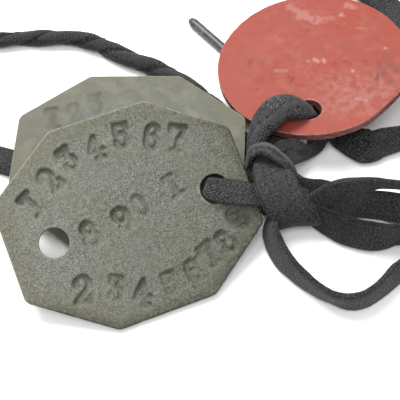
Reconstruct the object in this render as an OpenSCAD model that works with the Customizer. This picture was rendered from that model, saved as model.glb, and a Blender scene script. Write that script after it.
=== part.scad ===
// Two eight-sided identification discs and a round one, threaded and knotted
// on one flat lace, lying on a flat surface.
// Millimetres, +Z up, the surface is z = 0.

/* [Eight-sided discs] */
// Length of an eight-sided disc, corner side to corner side
tag_l = 38; // [37:0.5:38.5]
// Width of an eight-sided disc
tag_w = 31.7; // [31:0.1:32]
// Length of the four straight sides that face along and across
tag_flat = 15.4; // [14:0.2:16.4]
// Thickness of an eight-sided disc
tag_t = 1.1; // [0.8:0.1:1.1]
// Radius of the worn corners
tag_corner = 1.7; // [0.5:0.1:3]
// Diameter of the two lace holes
tag_hole_d = 4.5; // [4.2:0.1:4.8]

/* [Round disc] */
// Diameter of the round disc
disc_d = 33; // [32:0.2:33.2]
// Thickness of the round disc
disc_t = 1.5; // [1:0.1:1.5]
// Diameter of its lace hole
disc_hole_d = 4.2; // [3.8:0.1:4.6]

/* [Lace] */
// Width of the flat lace
lace_w = 5.6; // [5:0.1:5.6]
// Thickness of the flat lace
lace_t = 1.2; // [0.8:0.1:1.2]

/* [Aglets] */
// Diameter of the crimped lace ends
aglet_d = 1.8; // [1.4:0.1:1.8]
// Length of the crimped lace ends
aglet_l = 20; // [14:1:21]

/* [Hidden] */

// shift of the whole group that puts the discs' middle on the origin
lay = [0.4, 1.0, 0];

// eight corners of the outline, counter-clockwise
octo = [[tag_l / 2, -tag_flat / 2], [tag_l / 2, tag_flat / 2],
        [tag_flat / 2, tag_w / 2], [-tag_flat / 2, tag_w / 2],
        [-tag_l / 2, tag_flat / 2], [-tag_l / 2, -tag_flat / 2],
        [-tag_flat / 2, -tag_w / 2], [tag_flat / 2, -tag_w / 2]];

function unit(v) = v / norm(v);

// convex outline p with each corner rounded to radius r by k chords
function rounded(p, r, k = 5) = [
    for (i = [0 : len(p) - 1])
        let (n = len(p), a = unit(p[(i + n - 1) % n] - p[i]),
             b = unit(p[(i + 1) % n] - p[i]), h = acos(a * b) / 2,
             c = p[i] + unit(a + b) * r / sin(h),
             u = c - unit(a + b) * r, w = unit(u - c),
             v = [-w[1], w[0]], half = 90 - h)
        for (j = [0 : k])
            let (t = -half + 2 * half * j / k)
            c + r * (w * cos(t) + v * sin(t))];

// a lace section is an eight-cornered flat shape, half width a, half thickness b
function section(a, b) = [[a, 0.45 * b], [0.86 * a, b], [-0.86 * a, b],
    [-a, 0.45 * b], [-a, -0.45 * b], [-0.86 * a, -b], [0.86 * a, -b],
    [a, -0.45 * b]];

// route rows are [x, y, z, width, thickness, roll]; roll 0 lies flat and
// roll 90 stands on edge
function tangent(r, i) = let (n = len(r) - 1, p = r[max(i - 1, 0)],
    q = r[min(i + 1, n)]) unit([q[0] - p[0], q[1] - p[1], q[2] - p[2]]);

function ring(r, i) = let (t = tangent(r, i), h = unit(cross([0, 0, 1], t)),
    v = cross(t, h), b = cos(r[i][5]) * h + sin(r[i][5]) * v,
    n = cross(b, t), c = [r[i][0], r[i][1], r[i][2]])
    [for (s = section(r[i][3] / 2, r[i][4] / 2)) c + s[0] * b + s[1] * n];

module ribbon(r) {
    m = len(r);
    pts = [for (i = [0 : m - 1]) for (p = ring(r, i)) p];
    skin = [for (i = [0 : m - 2]) for (j = [0 : 7]) for (f = [0, 1])
        let (a = 8 * i + j, b = 8 * i + (j + 1) % 8)
        f == 0 ? [a, b, b + 8] : [a, b + 8, a + 8]];
    polyhedron(points = pts, faces = concat(skin,
        [[for (j = [7 : -1 : 0]) j]],
        [[for (j = [0 : 7]) 8 * (m - 1) + j]]), convexity = 8);
}

lw = lace_w;
lt = lace_t;
flat_z = lace_t / 2 + 0.05;

// from the knot up past the discs, twisted like a rope, then the wide plain
// loop that goes round a neck, and flat under the eight-sided discs back to
// the knot
neck = [
    [9, -6.5, 3, 2.8, 2.4, 0], [4.6, -0.8, 3.1, 2.8, 2.4, 0],
    [1, 5.4, 2, 2.9, 2.6, 0], [-5.2, 12.6, 1.5, 2.9, 2.7, 0],
    [-15, 18.8, 1.5, 2.9, 2.7, 0], [-25.4, 23.6, 1.5, 2.9, 2.7, 0],
    [-36, 23.6, 1.5, 2.9, 2.7, 0], [-45, 22, 1.7, 3, 2.6, 0],
    [-52, 19, 2.8, 3.6, 2, 0], [-57.5, 15, 3, 4.2, 1.6, 0],
    [-63.5, 8, 1.8, 5, lt, 0], [-68, -6, flat_z, lw, lt, 0],
    [-65, -22, flat_z, lw, lt, 0], [-56, -36, flat_z, lw, lt, 0],
    [-40, -45, flat_z, lw, lt, 0], [-18, -48, flat_z, lw, lt, 0],
    [6, -48.5, flat_z, lw, lt, 0], [26, -48, flat_z, lw, lt, 0],
    [43, -41, flat_z, lw, lt, 0], [54, -26, flat_z, lw, lt, 0],
    [59, -8, flat_z, lw, lt, 0], [60, 12, flat_z, lw, lt, 0],
    [57, 33, flat_z, lw, lt, 0], [47, 50, flat_z, lw, lt, 0],
    [30, 60, flat_z, lw, lt, 0], [8, 64.5, flat_z, lw, lt, 0],
    [-16, 65, flat_z, lw, lt, 0], [-38, 60.5, flat_z, lw, lt, 0],
    [-53, 51, flat_z, lw, lt, 0], [-60, 36, flat_z, lw, lt, 0],
    [-60, 22, flat_z, lw, lt, 0], [-54, 8, flat_z, lw, lt, 0],
    [-45, 0.6, flat_z + 0.1, 5.2, lt, 0], [-34, -3.6, 1, 5.2, lt, 9],
    [-22, -8, flat_z + 0.1, 5.2, lt, 0], [-9, -10.6, flat_z, 5.2, lt, 0],
    [1, -10.6, 0.8, 4.6, lt, 0], [8.5, -9.5, 1.4, 3.6, lt, 0]];

// the two bows, each a hairpin that stands on edge, leaves the knot and comes
// back to it; the large one climbs over the near side of the small one
bow_large = [
    [13.5, -12.3, 3.4, 2.6, 1.2, -103], [16.4, -13.1, 5, 4.2, 1.2, -103],
    [19.6, -12.2, 6.8, 5, 1.2, -106], [21.4, -11.8, 7.4, 4.5, 1.2, -96],
    [23.7, -11.4, 7.4, 4, 1.2, -88], [26.1, -11.1, 6.9, 3.7, 1.2, -77],
    [28.7, -10.8, 6, 4.5, 1.2, -71], [33.4, -10.9, 5.2, 5.2, 1.2, -74],
    [38, -12, 4.2, 5.2, 1.2, -82], [41, -15, 3.5, 5.2, 1.3, -90],
    [40.8, -18.4, 3.1, 5.2, 1.3, -90], [38, -20.7, 3.1, 5.2, 1.3, -88],
    [30, -22.5, 3.1, 5.2, 1.3, -75], [24.3, -27.1, 3.1, 5.2, 1.3, -78],
    [22, -28.7, 3.1, 5.2, 1.3, -82], [16.8, -28.6, 3.1, 5.2, 1.3, -100],
    [11.8, -24.7, 3.1, 5.2, 1.3, -85], [9.6, -21.9, 3, 5.2, 1.3, -78],
    [8.3, -17.8, 2.9, 4.4, 1.3, -76], [10, -12.5, 2.2, 2.6, 1.3, -49]];
bow_small = [
    [11.5, -7.8, 2.9, 2.6, 1.2, -121], [14.2, -9.8, 2.9, 4, 1.2, -119],
    [18.1, -10.9, 2.6, 5, 1.2, -122], [22.2, -12.1, 2.5, 5, 1.2, -127],
    [26.5, -12.6, 2.6, 5, 1.2, -120], [28.9, -12.9, 2.8, 5, 1.2, -118],
    [34.2, -13.4, 3.1, 5, 1.3, -94], [36.2, -14.9, 3.1, 5, 1.3, -90],
    [35.4, -17.5, 3.1, 5, 1.3, -90], [32.4, -18.3, 3.1, 5, 1.3, -87],
    [28.2, -18, 3.1, 5, 1.3, -83], [23.9, -18.5, 3.1, 5, 1.3, -73],
    [19.8, -17.4, 3.1, 5, 1.3, -74], [15.2, -14.7, 3.1, 3.4, 1.3, -78],
    [13.5, -13.8, 3.1, 2.6, 1.3, -80]];

// the long end: over the round disc's rim, down through its hole, out under
// the rim, round it on edge and away to the far side
end_long = [
    [8.4, -6, 5.8, 3, 1.6, 10], [7.4, -1, 7.5, 4, 1.4, 20],
    [9.8, 3.2, 9, 4, 1.4, 25], [13, 4.5, 9, 3, 1.5, 20],
    [15.1, 3.9, 7.3, 2.8, 1.4, 20], [15.9, 3, 4.9, 2.6, 1.3, 20],
    [19, 1, 3.0, 3.4, 1.3, 20], [25.4, -0.6, 3.2, 5.2, 1.3, 62],
    [30.4, 0.3, 3.1, 5.4, 1.3, 76], [34.6, 2.4, 3.1, 5.4, 1.3, 86],
    [36.6, 6.8, 3.0, 5.4, 1.3, 76], [37.6, 12.4, 2.7, 5.4, 1.3, 52],
    [37.4, 18.8, 1.9, lw, lt, 24], [36, 25.4, 1.3, lw, lt, 8],
    [33.2, 31.4, 1.0, lw, lt, 2], [29.2, 36.8, 0.9, lw, lt, 0],
    [24.2, 40.4, 0.85, 5.4, lt, 0], [18.5, 42.3, 0.85, 4.6, 1.3, 0],
    [12.4, 43.4, 0.95, 1.5, 1.5, 0]];

// the short end: from the knot under the round disc to its aglet
end_short = [
    [13, -5, 3.8, 3, 1.4, 10], [16.8, -1.6, 1.15, 4, 1.2, 0],
    [18.6, 3.4, flat_z, 4.6, lt, 0], [17.2, 7.4, flat_z, 4.6, lt, 0],
    [13.4, 9.8, flat_z, 4, lt, 0], [8.2, 13.9, 0.93, 1.4, 1.3, 0]];

// the short loop that carries both eight-sided discs by a hole each
tag_loop = [
    [8.4, -12.2, 6, 2.4, 1.2, 0], [5.2, -13.6, 8.5, 2.6, 1.2, 0],
    [1.4, -13.4, 9, 2.8, 1.2, 0], [-0.35, -12.7, 7.9, 2.6, 1.1, 0],
    [-0.7, -11.5, 6.3, 2.4, 1.1, 0], [-1.2, -8.8, 6.5, 2.6, 1.1, 0],
    [-1.75, -6.3, 6.2, 2.6, 1.1, 0], [-1.75, -5.5, 4.8, 2.4, 1.1, 0],
    [-0.6, -5.3, 3.3, 2.6, 1.1, 0], [3, -6.6, 2.6, 2.6, 1.1, 0],
    [7.4, -8.8, 3.2, 2.4, 1.2, 0]];

module eight_sided(holes) {
    difference() {
        translate([0, 0, -tag_t]) linear_extrude(tag_t)
            polygon(rounded(octo, tag_corner));
        for (h = holes) translate([h[0], h[1], -tag_t - 1])
            cylinder(h = tag_t + 2, d = tag_hole_d, $fn = 48);
    }
}

// centre of the top face, then the lean and the turn about the face's middle
module lying(c, lean, turn) {
    translate(lay) translate(c) rotate([lean[0], lean[1], 0])
        rotate([0, 0, turn]) children();
}

module tag_front() color([0.40, 0.39, 0.31])
    lying([-13.1, -16.8, 7.56], [22.5, 8.5], 23.5)
        eight_sided([[-12.2, -0.5], [13.4, -0.7]]);

module tag_back() color([0.50, 0.46, 0.35])
    lying([-14.5, -4.7, 4.6], [5.5, -4], -3)
        eight_sided([[-12.8, -0.3], [12.8, -0.3]]);

module disc_red() color([0.78, 0.42, 0.36])
    lying([16.64, 14.51, 6.03], [-3.6, -8.3], 0) difference() {
        translate([0, 0, -disc_t]) cylinder(h = disc_t, d = disc_d, $fn = 96);
        translate([-1.3, -11, -disc_t - 1])
            cylinder(h = disc_t + 2, d = disc_hole_d, $fn = 48);
    }

module lace_neck() color([0.13, 0.13, 0.14]) translate(lay) ribbon(neck);
module lace_bow_large() color([0.13, 0.13, 0.14]) translate(lay) ribbon(bow_large);
module lace_bow_small() color([0.13, 0.13, 0.14]) translate(lay) ribbon(bow_small);
module lace_end_long() color([0.13, 0.13, 0.14]) translate(lay) ribbon(end_long);
module lace_end_short() color([0.13, 0.13, 0.14]) translate(lay) ribbon(end_short);
module lace_tag_loop() color([0.13, 0.13, 0.14]) translate(lay) ribbon(tag_loop);

// outer shape of the knot
module lace_knot() color([0.16, 0.16, 0.17]) translate(lay) hull() {
    for (p = [[8.9, -12.8, 2.6], [13.2, -12.4, 2.6], [9.0, -6.6, 2.7],
              [13, -6.4, 2.7]])
        translate(p) sphere(r = 2.5, $fn = 20);
    for (p = [[8.4, -11.2, 5.0], [12.2, -10.6, 5.4], [8.6, -7, 5.5],
              [11.8, -6.6, 5.2]])
        translate(p) sphere(r = 2.2, $fn = 20);
}

// a crimped lace end from point a along the heading, tapered at its tip
module aglet(a, heading) {
    translate(lay) translate([a[0], a[1], aglet_d / 2 + 0.03])
        rotate([0, 90, heading]) rotate_extrude($fn = 32)
            polygon([[0, 0], [aglet_d / 2 - 0.1, 0], [aglet_d / 2, 0.15],
                     [aglet_d / 2, aglet_l - 1.2],
                     [aglet_d / 2 - 0.25, aglet_l - 0.3],
                     [aglet_d / 2 - 0.6, aglet_l], [0, aglet_l]]);
}

module aglet_1() color([0.42, 0.42, 0.42]) aglet([8.4, 13.7], 130.5);
module aglet_2() color([0.42, 0.42, 0.42]) aglet([12.8, 43.3], 172);

tag_front();
tag_back();
disc_red();
lace_neck();
lace_bow_large();
lace_bow_small();
lace_end_long();
lace_end_short();
lace_tag_loop();
lace_knot();
aglet_1();
aglet_2();
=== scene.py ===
import math
import random

import bpy
import numpy as np
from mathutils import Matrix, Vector


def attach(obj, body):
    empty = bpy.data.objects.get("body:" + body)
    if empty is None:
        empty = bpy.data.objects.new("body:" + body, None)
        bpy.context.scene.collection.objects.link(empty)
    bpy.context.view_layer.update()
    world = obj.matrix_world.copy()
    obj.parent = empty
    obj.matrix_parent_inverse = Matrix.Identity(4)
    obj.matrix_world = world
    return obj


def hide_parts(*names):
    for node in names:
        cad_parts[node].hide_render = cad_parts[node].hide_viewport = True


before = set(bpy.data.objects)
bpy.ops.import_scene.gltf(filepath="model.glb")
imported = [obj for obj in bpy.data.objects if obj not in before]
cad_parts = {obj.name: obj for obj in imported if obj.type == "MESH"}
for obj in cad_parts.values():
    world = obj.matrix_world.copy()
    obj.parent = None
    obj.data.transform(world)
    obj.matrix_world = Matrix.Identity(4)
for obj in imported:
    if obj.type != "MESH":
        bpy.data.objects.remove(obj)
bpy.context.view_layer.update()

rng = np.random.default_rng(41)
random.seed(41)
MM = 0.001
LAY = np.array([0.4, 1.0, 0.0])      # shift of the whole group, as in the CAD

# ---------------------------------------------------------------- camera
cam_data = bpy.data.cameras.new("camera")
cam_data.sensor_width = 36.0
cam_data.lens = 72.0
cam_data.clip_start = 0.005
cam_data.clip_end = 5.0
cam = bpy.data.objects.new("camera", cam_data)
bpy.context.scene.collection.objects.link(cam)
ELEV = math.radians(58.8)
DIST = 130.5
cam.location = Vector(((-2.7 + LAY[0]) * MM,
                       (-10.0 + LAY[1] - DIST * math.cos(ELEV)) * MM,
                       DIST * math.sin(ELEV) * MM))
cam.rotation_euler = (math.pi / 2 - ELEV, 0, 0)
bpy.context.scene.camera = cam


# ---------------------------------------------------------------- helpers
def unit(v):
    v = np.asarray(v, float)
    return v / np.maximum(np.linalg.norm(v, axis=-1, keepdims=True), 1e-12)


def smooth(x):
    x = np.clip(x, 0.0, 1.0)
    return x * x * (3 - 2 * x)


def spline(rows, step):
    """Rows of numbers along a route, the first three a point in mm, carried
    through a non-uniform Catmull-Rom curve and cut every step mm."""
    p = np.asarray(rows, float)
    h = np.maximum(np.linalg.norm(np.diff(p[:, :3], axis=0), axis=1), 1e-6) ** 0.75
    m = np.zeros_like(p)
    s = np.diff(p, axis=0) / h[:, None]
    m[1:-1] = (s[1:] * h[:-1, None] + s[:-1] * h[1:, None]) / (h[1:] + h[:-1])[:, None]
    m[0], m[-1] = s[0], s[-1]
    out = []
    for i in range(len(p) - 1):
        t = np.linspace(0, 1, 40, endpoint=False)[:, None]
        a, b = p[i], p[i + 1]
        ma, mb = m[i] * h[i], m[i + 1] * h[i]
        out.append((2 * t**3 - 3 * t**2 + 1) * a + (t**3 - 2 * t**2 + t) * ma
                   + (-2 * t**3 + 3 * t**2) * b + (t**3 - t**2) * mb)
    q = np.concatenate(out + [p[-1:]])
    d = np.r_[0, np.cumsum(np.linalg.norm(np.diff(q[:, :3], axis=0), axis=1))]
    n = max(int(round(d[-1] / step)), 4)
    s = np.linspace(0, d[-1], n + 1)
    marks = d[np.minimum(np.arange(len(p)) * 40, len(d) - 1)]
    return s, np.stack([np.interp(s, d, q[:, j]) for j in range(q.shape[1])], 1), marks


def mesh_object(name, verts, faces, smooth_shade=True):
    me = bpy.data.meshes.new(name)
    me.from_pydata([tuple(v) for v in np.asarray(verts) * MM], [], faces)
    me.validate(verbose=False)
    me.update()
    if smooth_shade:
        me.polygons.foreach_set("use_smooth", [True] * len(me.polygons))
    ob = bpy.data.objects.new(name, me)
    bpy.context.scene.collection.objects.link(ob)
    return ob


def attr3(ob, name, values):
    a = ob.data.attributes.new(name, "FLOAT_VECTOR", "POINT")
    a.data.foreach_set("vector", np.asarray(values, np.float32).ravel())


def value_noise(x, y, size, seed):
    """Seeded smooth noise, about -1 to 1, with lumps about size mm wide."""
    r = np.random.default_rng(seed)
    g = r.uniform(-1, 1, (256, 256))
    x, y = x / size + 128.37, y / size + 127.11
    i, j = np.floor(x).astype(int), np.floor(y).astype(int)
    a, b = smooth(x - i), smooth(y - j)
    i, j = i % 256, j % 256
    k, l = (i + 1) % 256, (j + 1) % 256
    return ((g[i, j] * (1 - a) + g[k, j] * a) * (1 - b)
            + (g[i, l] * (1 - a) + g[k, l] * a) * b)


# ---------------------------------------------------------------- lace
SIDES = 28


def wobble(s, seed, scale, count=5):
    """A smooth seeded wave along s, about -1 to 1."""
    r = np.random.default_rng(seed)
    f = r.uniform(0.4, 1.6, count) / scale
    p = r.uniform(0, 2 * math.pi, count)
    return sum(np.sin(2 * math.pi * f[i] * s + p[i]) for i in range(count)) / count * 1.5


def controls(rows):
    """Route rows turned into x, y, z, width, thickness, the direction across
    the lace and its lengthwise fold. A row is x, y, z, width, thickness,
    roll, or the left edge, the right edge, the thickness and, where the lace
    is folded, how far across the fold lies and how high it stands."""
    n = len(rows)
    c = np.array([r[:3] if len(r) == 6 else
                  [(r[k] + r[k + 3]) / 2 for k in range(3)] for r in rows], float)
    out = []
    last = None
    for i, r in enumerate(rows):
        t = unit(c[min(i + 1, n - 1)] - c[max(i - 1, 0)])
        f, fh = 0.5, 0.0
        if len(r) == 6:
            h = unit(np.array([-t[1], t[0], 0.0]))
            v = np.cross(t, h)
            a = math.radians(r[5])
            b = math.cos(a) * h + math.sin(a) * v
            w, th = r[3], r[4]
        else:
            e = np.array(r[3:6], float) - np.array(r[:3], float)
            e = e - t * float(e @ t)
            w, th = float(np.linalg.norm(e)), r[6]
            b = e / w
            if len(r) > 7:
                f, fh = r[7], r[8]
        side = 1.0
        if last is not None and float(b @ last) < 0:
            b, f, side = -b, 1 - f, -1.0
        last = b
        out.append([*c[i], w, th, *b, f, fh, side])
    return out


def lace(name, rows, step=0.35, sides=SIDES, rope=None, seed=1, s0=0.0,
         felt_rows=None, felt_all=0.0, rim=0.28, dim_rows=None, fold=0.5):
    """A flat braided lace along a route. rope is (from, to, pitch) in mm of
    the stretch that is rolled and twisted."""
    s, q, marks = spline(controls(rows), step)
    C = q[:, :3]
    w, t = q[:, 3], q[:, 4]
    T = unit(np.gradient(C, axis=0))
    B = q[:, 5:8]
    B = unit(B - T * (B * T).sum(1)[:, None])
    N = np.cross(B, T)
    n = len(s)
    w = w * (1 + 0.02 * wobble(s, seed, 9.0))
    t = t * (1 + 0.05 * wobble(s, seed + 7, 7.0))
    th = np.linspace(0, 2 * math.pi, sides, endpoint=False)
    cx, sx = np.cos(th), np.sin(th)
    px = np.sign(cx) * np.abs(cx) ** 0.62
    py = np.sign(sx) * np.abs(sx) ** 0.55
    # fullness: the two rims are a little thicker than the middle
    X = (w / 2)[:, None] * px
    Y = (t / 2)[:, None] * py * (1 + 0.10 * (np.abs(px) ** 3) - 0.03)
    # across the lace and on round its rims, so the stitches keep their size
    u = (px[None, :] * (w / 2)[:, None]
         + (np.sign(px) * (1 - np.abs(py)))[None, :] * (t / 2)[:, None])
    fh = q[:, 9]
    band = 0 * X
    under = 0 * X
    if fh.max() > 0.01:
        up = 1.0 if float((N[:, 2] * fh).sum()) > 0 else -1.0
        half = (w / 2)[:, None]
        xr = half * (2 * np.clip(q[:, 8], 0.05, 0.95)[:, None] - 1)
        tri = np.where(X < xr, (X + half) / (xr + half), (half - X) / (half - xr))
        Y = Y + up * fh[:, None] * np.clip(tri, 0, 1)
        over = (X - xr) * np.sign(q[:, 10])[:, None]
        band = (smooth(over / 0.3 + 0.9) * (1 - 0.8 * smooth((over - 0.75) / 0.4))
                * np.clip(fh / 0.7, 0, 1)[:, None])
        # painted shadow: a dark line along the foot of the fold, as under a rolled rim; fold sets how dark
        under = -fold * np.exp(-((over + 0.42) / 0.22) ** 2) * np.clip(fh / 0.7, 0, 1)[:, None]
    crease_shade = 0.0
    if rope is not None:
        lo, hi, pitch = rope
        k = smooth((s - lo) / 6.0) * smooth((hi - s) / 6.0)
        phi = 2 * math.pi * s / pitch + 0.5 * wobble(s, seed + 3, 16.0)
        r0 = np.interp(s, [0, 18, 34, 48, 62], [1.66, 1.72, 1.7, 1.52, 1.42])
        r0 = r0 * (1 + 0.05 * wobble(s, seed + 5, 11.0))
        a = th[None, :] - phi[:, None]
        lobe = np.abs(np.cos(a))
        rr = r0[:, None] * (0.66 + 0.38 * lobe ** 0.6)
        # the free rim of the rolled lace makes one sharper step
        b = np.mod(a + 1.15, 2 * math.pi) / (2 * math.pi)
        rr = rr * (1 + 0.24 * (b - 0.5))
        X = X * (1 - k)[:, None] + rr * np.cos(th) * k[:, None]
        Y = Y * (1 - k)[:, None] + rr * np.sin(th) * k[:, None]
        u = u * (1 - k)[:, None] + (3.0 * np.sin(a)) * k[:, None]
        # painted shade in the creases between the twisted lobes and at the step of the free rim
        crease_shade = -0.42 * k[:, None] * np.maximum(
            smooth((0.42 - lobe) / 0.34), smooth((b - 0.93) / 0.05) + smooth((0.05 - b) / 0.05))
    # yarn relief: rows of slanting stitches, mirrored about the middle
    uu = np.abs(u)
    ss = (s + s0)[:, None]
    rel = (np.abs(np.sin(math.pi * (ss / 1.1 + uu / 0.8)))
           * np.abs(np.sin(math.pi * (uu / 0.8 - 0.15))))
    nx, ny = X / np.maximum(w / 2, 0.3)[:, None] ** 2, Y / np.maximum(t / 2, 0.3)[:, None] ** 2
    nl = np.sqrt(nx**2 + ny**2) + 1e-9
    amp = 0.028
    # soft creases and lumps of used cloth
    sv = np.broadcast_to(ss, X.shape) + 7.0 * np.tile(np.sign(py), (n, 1))
    lump = (0.055 * value_noise(sv, u, 1.9, seed + 61) + 0.030 * value_noise(sv, u, 0.8, seed + 62)
            - 0.045)
    X = X + (amp * (rel - 0.5) + lump) * nx / nl
    Y = Y + (amp * (rel - 0.5) + lump) * ny / nl
    P = C[:, None, :] + X[..., None] * B[:, None, :] + Y[..., None] * N[:, None, :]
    P = P + LAY
    P[..., 2] = np.maximum(P[..., 2], 0.02)
    verts = P.reshape(-1, 3)
    faces = []
    for i in range(n - 1):
        a0, b0 = i * sides, (i + 1) * sides
        for j in range(sides):
            k2 = (j + 1) % sides
            faces.append((a0 + j, a0 + k2, b0 + k2, b0 + j))
    verts = np.r_[verts, [C[0] + LAY, C[-1] + LAY]]
    e0, e1 = n * sides, n * sides + 1
    for j in range(sides):
        k2 = (j + 1) % sides
        faces.append((e0, k2, j))
        faces.append((e1, (n - 1) * sides + j, (n - 1) * sides + k2))
    ob = mesh_object(name, verts, faces)
    st = np.zeros((len(verts), 3))
    st[:-2, 0] = np.repeat(s + s0, sides)
    st[:-2, 1] = u.ravel()
    # third channel: the lighter fold band, the painted shadow under a fold, painted shade on both rims
    # outside the band (strength rim) and painted shade in the rope's creases
    st[:-2, 2] = (0.55 * band + under - rim * (1 - band) * smooth((np.abs(px) - 0.84) / 0.12)[None, :]
                    + crease_shade).ravel()
    # painted shade on the listed stretches of rows, where the straps above and the knot shade them; a
    # negative strength paints light instead
    for a0, b0, k0 in dim_rows or ():
        lo, hi = marks[a0], marks[b0]
        st[:-2, 2] -= np.repeat(k0 * smooth((s - lo) / 2.5) * smooth((hi - s) / 2.5), sides)
    st[-2] = [s0, 0, 0]
    st[-1] = [s[-1] + s0, 0, 0]
    attr3(ob, "lace", st)
    felt = np.full(n, float(felt_all))
    for a0, b0, k0 in felt_rows or ():
        lo, hi = marks[a0], marks[b0]
        felt = np.maximum(felt, k0 * smooth((s - lo) / 2.5) * smooth((hi - s) / 2.5))
    fa = ob.data.attributes.new("felt", "FLOAT", "POINT")
    felt = np.maximum(np.repeat(felt, sides), 0.45 * band.ravel())
    fa.data.foreach_set("value", np.r_[felt, 0, 0].astype(np.float32))
    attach(ob, "root")
    k = max(int(round(3.0 / step)), 1)
    idx = list(range(0, n - 1, k)) + [n - 1]
    path = [tuple((C[i] + LAY) * MM) for i in idx]
    return ob, path, s[-1]


FZ = 0.65
NECK = [
    [9.0, -6.5, 3.0, 2.8, 2.4, 0], [4.6, -0.8, 3.1, 2.8, 2.4, 0],
    [1.2, 5.5, 2.0, 2.9, 2.6, 0], [-5.1, 12.6, 1.5, 2.9, 2.7, 0],
    [-14.9, 18.75, 1.5, 2.9, 2.7, 0], [-25.35, 23.6, 1.5, 2.9, 2.7, 0],
    [-36, 23.65, 1.5, 2.9, 2.7, 0], [-45, 22, 1.7, 3.0, 2.6, 0],
    [-52, 19, 2.8, 3.6, 2.0, 0], [-57.5, 15, 3.0, 4.2, 1.6, 0],
    [-63.5, 8, 1.8, 5, 1.2, 0], [-68, -6, FZ, 5.6, 1.2, 0],
    [-65, -22, FZ, 5.6, 1.2, 0], [-56, -36, FZ, 5.6, 1.2, 0],
    [-40, -45, FZ, 5.6, 1.2, 0], [-18, -48, FZ, 5.6, 1.2, 0],
    [6, -48.5, FZ, 5.6, 1.2, 0], [26, -48, FZ, 5.6, 1.2, 0],
    [43, -41, FZ, 5.6, 1.2, 0], [54, -26, FZ, 5.6, 1.2, 0],
    [59, -8, FZ, 5.6, 1.2, 0], [60, 12, FZ, 5.6, 1.2, 0],
    [57, 33, FZ, 5.6, 1.2, 0], [47, 50, FZ, 5.6, 1.2, 0],
    [30, 60, FZ, 5.6, 1.2, 0], [8, 64.5, FZ, 5.6, 1.2, 0],
    [-16, 65, FZ, 5.6, 1.2, 0], [-38, 60.5, FZ, 5.6, 1.2, 0],
    [-53, 51, FZ, 5.6, 1.2, 0], [-60, 36, FZ, 5.6, 1.2, 0],
    [-60, 22, FZ, 5.5, 1.2, 0], [-54, 8.1, FZ, 5.2, 1.2, 0],
    [-45, 0.75, FZ + 0.1, 4.9, 1.2, 0], [-34, -3.45, 1.0, 4.8, 1.2, 9],
    [-22, -8, FZ + 0.1, 5.2, 1.2, 0], [-9, -10.6, FZ, 5.2, 1.2, 0],
    [1, -10.6, 0.8, 4.6, 1.2, 0], [8.5, -9.5, 1.4, 3.6, 1.2, 0]]
BOW_LARGE = [
    [12.6, -11.5, 4.6, 14.4, -13.2, 2.2, 1.2],
    [13.2, -12.6, 5.6, 16.4, -14.2, 2.6, 1.2],
    [14.6, -12.7, 6.8, 18.2, -13.5, 3.2, 1.2],
    [16.0, -12.3, 7.8, 19.9, -12.9, 4.2, 1.2],
    [17.6, -11.9, 8.3, 21.5, -12.4, 5.0, 1.2],
    [19.5, -11.9, 8.85, 23.4, -11.7, 5.35, 1.2],
    [21.9, -11.8, 9.0, 25.5, -11.1, 5.1, 1.2],
    [24.7, -11.7, 8.6, 27.6, -10.5, 4.7, 1.2],
    [27.9, -11.6, 7.8, 29.5, -10.1, 3.9, 1.2],
    [33.4, -10.9, 5.2, 5.7, 1.2, 106], [38, -12.0, 4.2, 5.7, 1.2, 98],
    [41, -15.0, 3.5, 5.7, 1.3, 90], [40.8, -18.4, 3.1, 5.7, 1.3, 90],
    [38, -20.7, 3.1, 5.7, 1.3, 92],
    [34, -21.5, 2.9, 5.4, 1.3, 98], [30, -22.6, 2.75, 5.0, 1.3, 105],
    [26.9, -24.7, 2.65, 4.8, 1.3, 109], [24.3, -27.1, 2.6, 4.7, 1.3, 102],
    [22, -28.6, 2.6, 4.7, 1.3, 98], [19.6, -29.2, 2.6, 4.7, 1.3, 90],
    [16.9, -28.5, 2.6, 4.7, 1.3, 80], [14.2, -26.7, 2.6, 4.7, 1.3, 87],
    [11.9, -24.6, 2.65, 4.8, 1.3, 95], [9.7, -21.8, 2.8, 5.1, 1.3, 102],
    [8.3, -17.8, 2.7, 5.1, 1.3, 105], [8.6, -15, 2.0, 4.2, 1.3, 112],
    [10, -12.5, 2.2, 3.6, 1.3, 130]]
BOW_SMALL = [
    [11.3, -6.5, 4.2, 11.7, -9.1, 1.6, 1.2],
    [12.2, -7.6, 4.6, 12.8, -10.0, 1.2, 1.2],
    [14.0, -8.6, 4.8, 14.3, -11.1, 0.9, 1.2],
    [16.0, -9.1, 4.9, 16.0, -11.7, 0.6, 1.2],
    [18.0, -9.5, 4.8, 18.1, -12.3, 0.5, 1.2],
    [20.2, -9.9, 4.6, 20.1, -13.1, 0.5, 1.2],
    [22.2, -10.5, 4.6, 22.2, -13.6, 0.5, 1.2],
    [24.1, -10.9, 4.6, 24.2, -13.8, 0.5, 1.2],
    [26.4, -11.3, 4.8, 26.6, -14.1, 0.5, 1.2],
    [28.6, -11.7, 4.9, 29.1, -14.6, 0.5, 1.2],
    [31.6, -13.2, 3.0, 5.5, 1.3, 76], [34.2, -13.4, 3.1, 5.6, 1.3, 86],
    [36.2, -14.9, 3.1, 5.6, 1.3, 90],
    [35.4, -17.5, 2.9, 5.2, 1.3, 90], [32.4, -18.3, 2.9, 5.2, 1.3, 93],
    [28.2, -18, 3.0, 5.5, 1.3, 97], [26, -18.5, 3.1, 5.7, 1.3, 101],
    [23.9, -18.5, 3.2, 5.8, 1.3, 107], [22.2, -18.2, 3.2, 5.9, 1.3, 107],
    [19.8, -17.4, 3.2, 5.8, 1.3, 106], [17.2, -16, 3.1, 5.4, 1.3, 104],
    [15.2, -14.7, 3.1, 4.8, 1.3, 102], [13.5, -13.8, 3.1, 4, 1.3, 100]]
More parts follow.
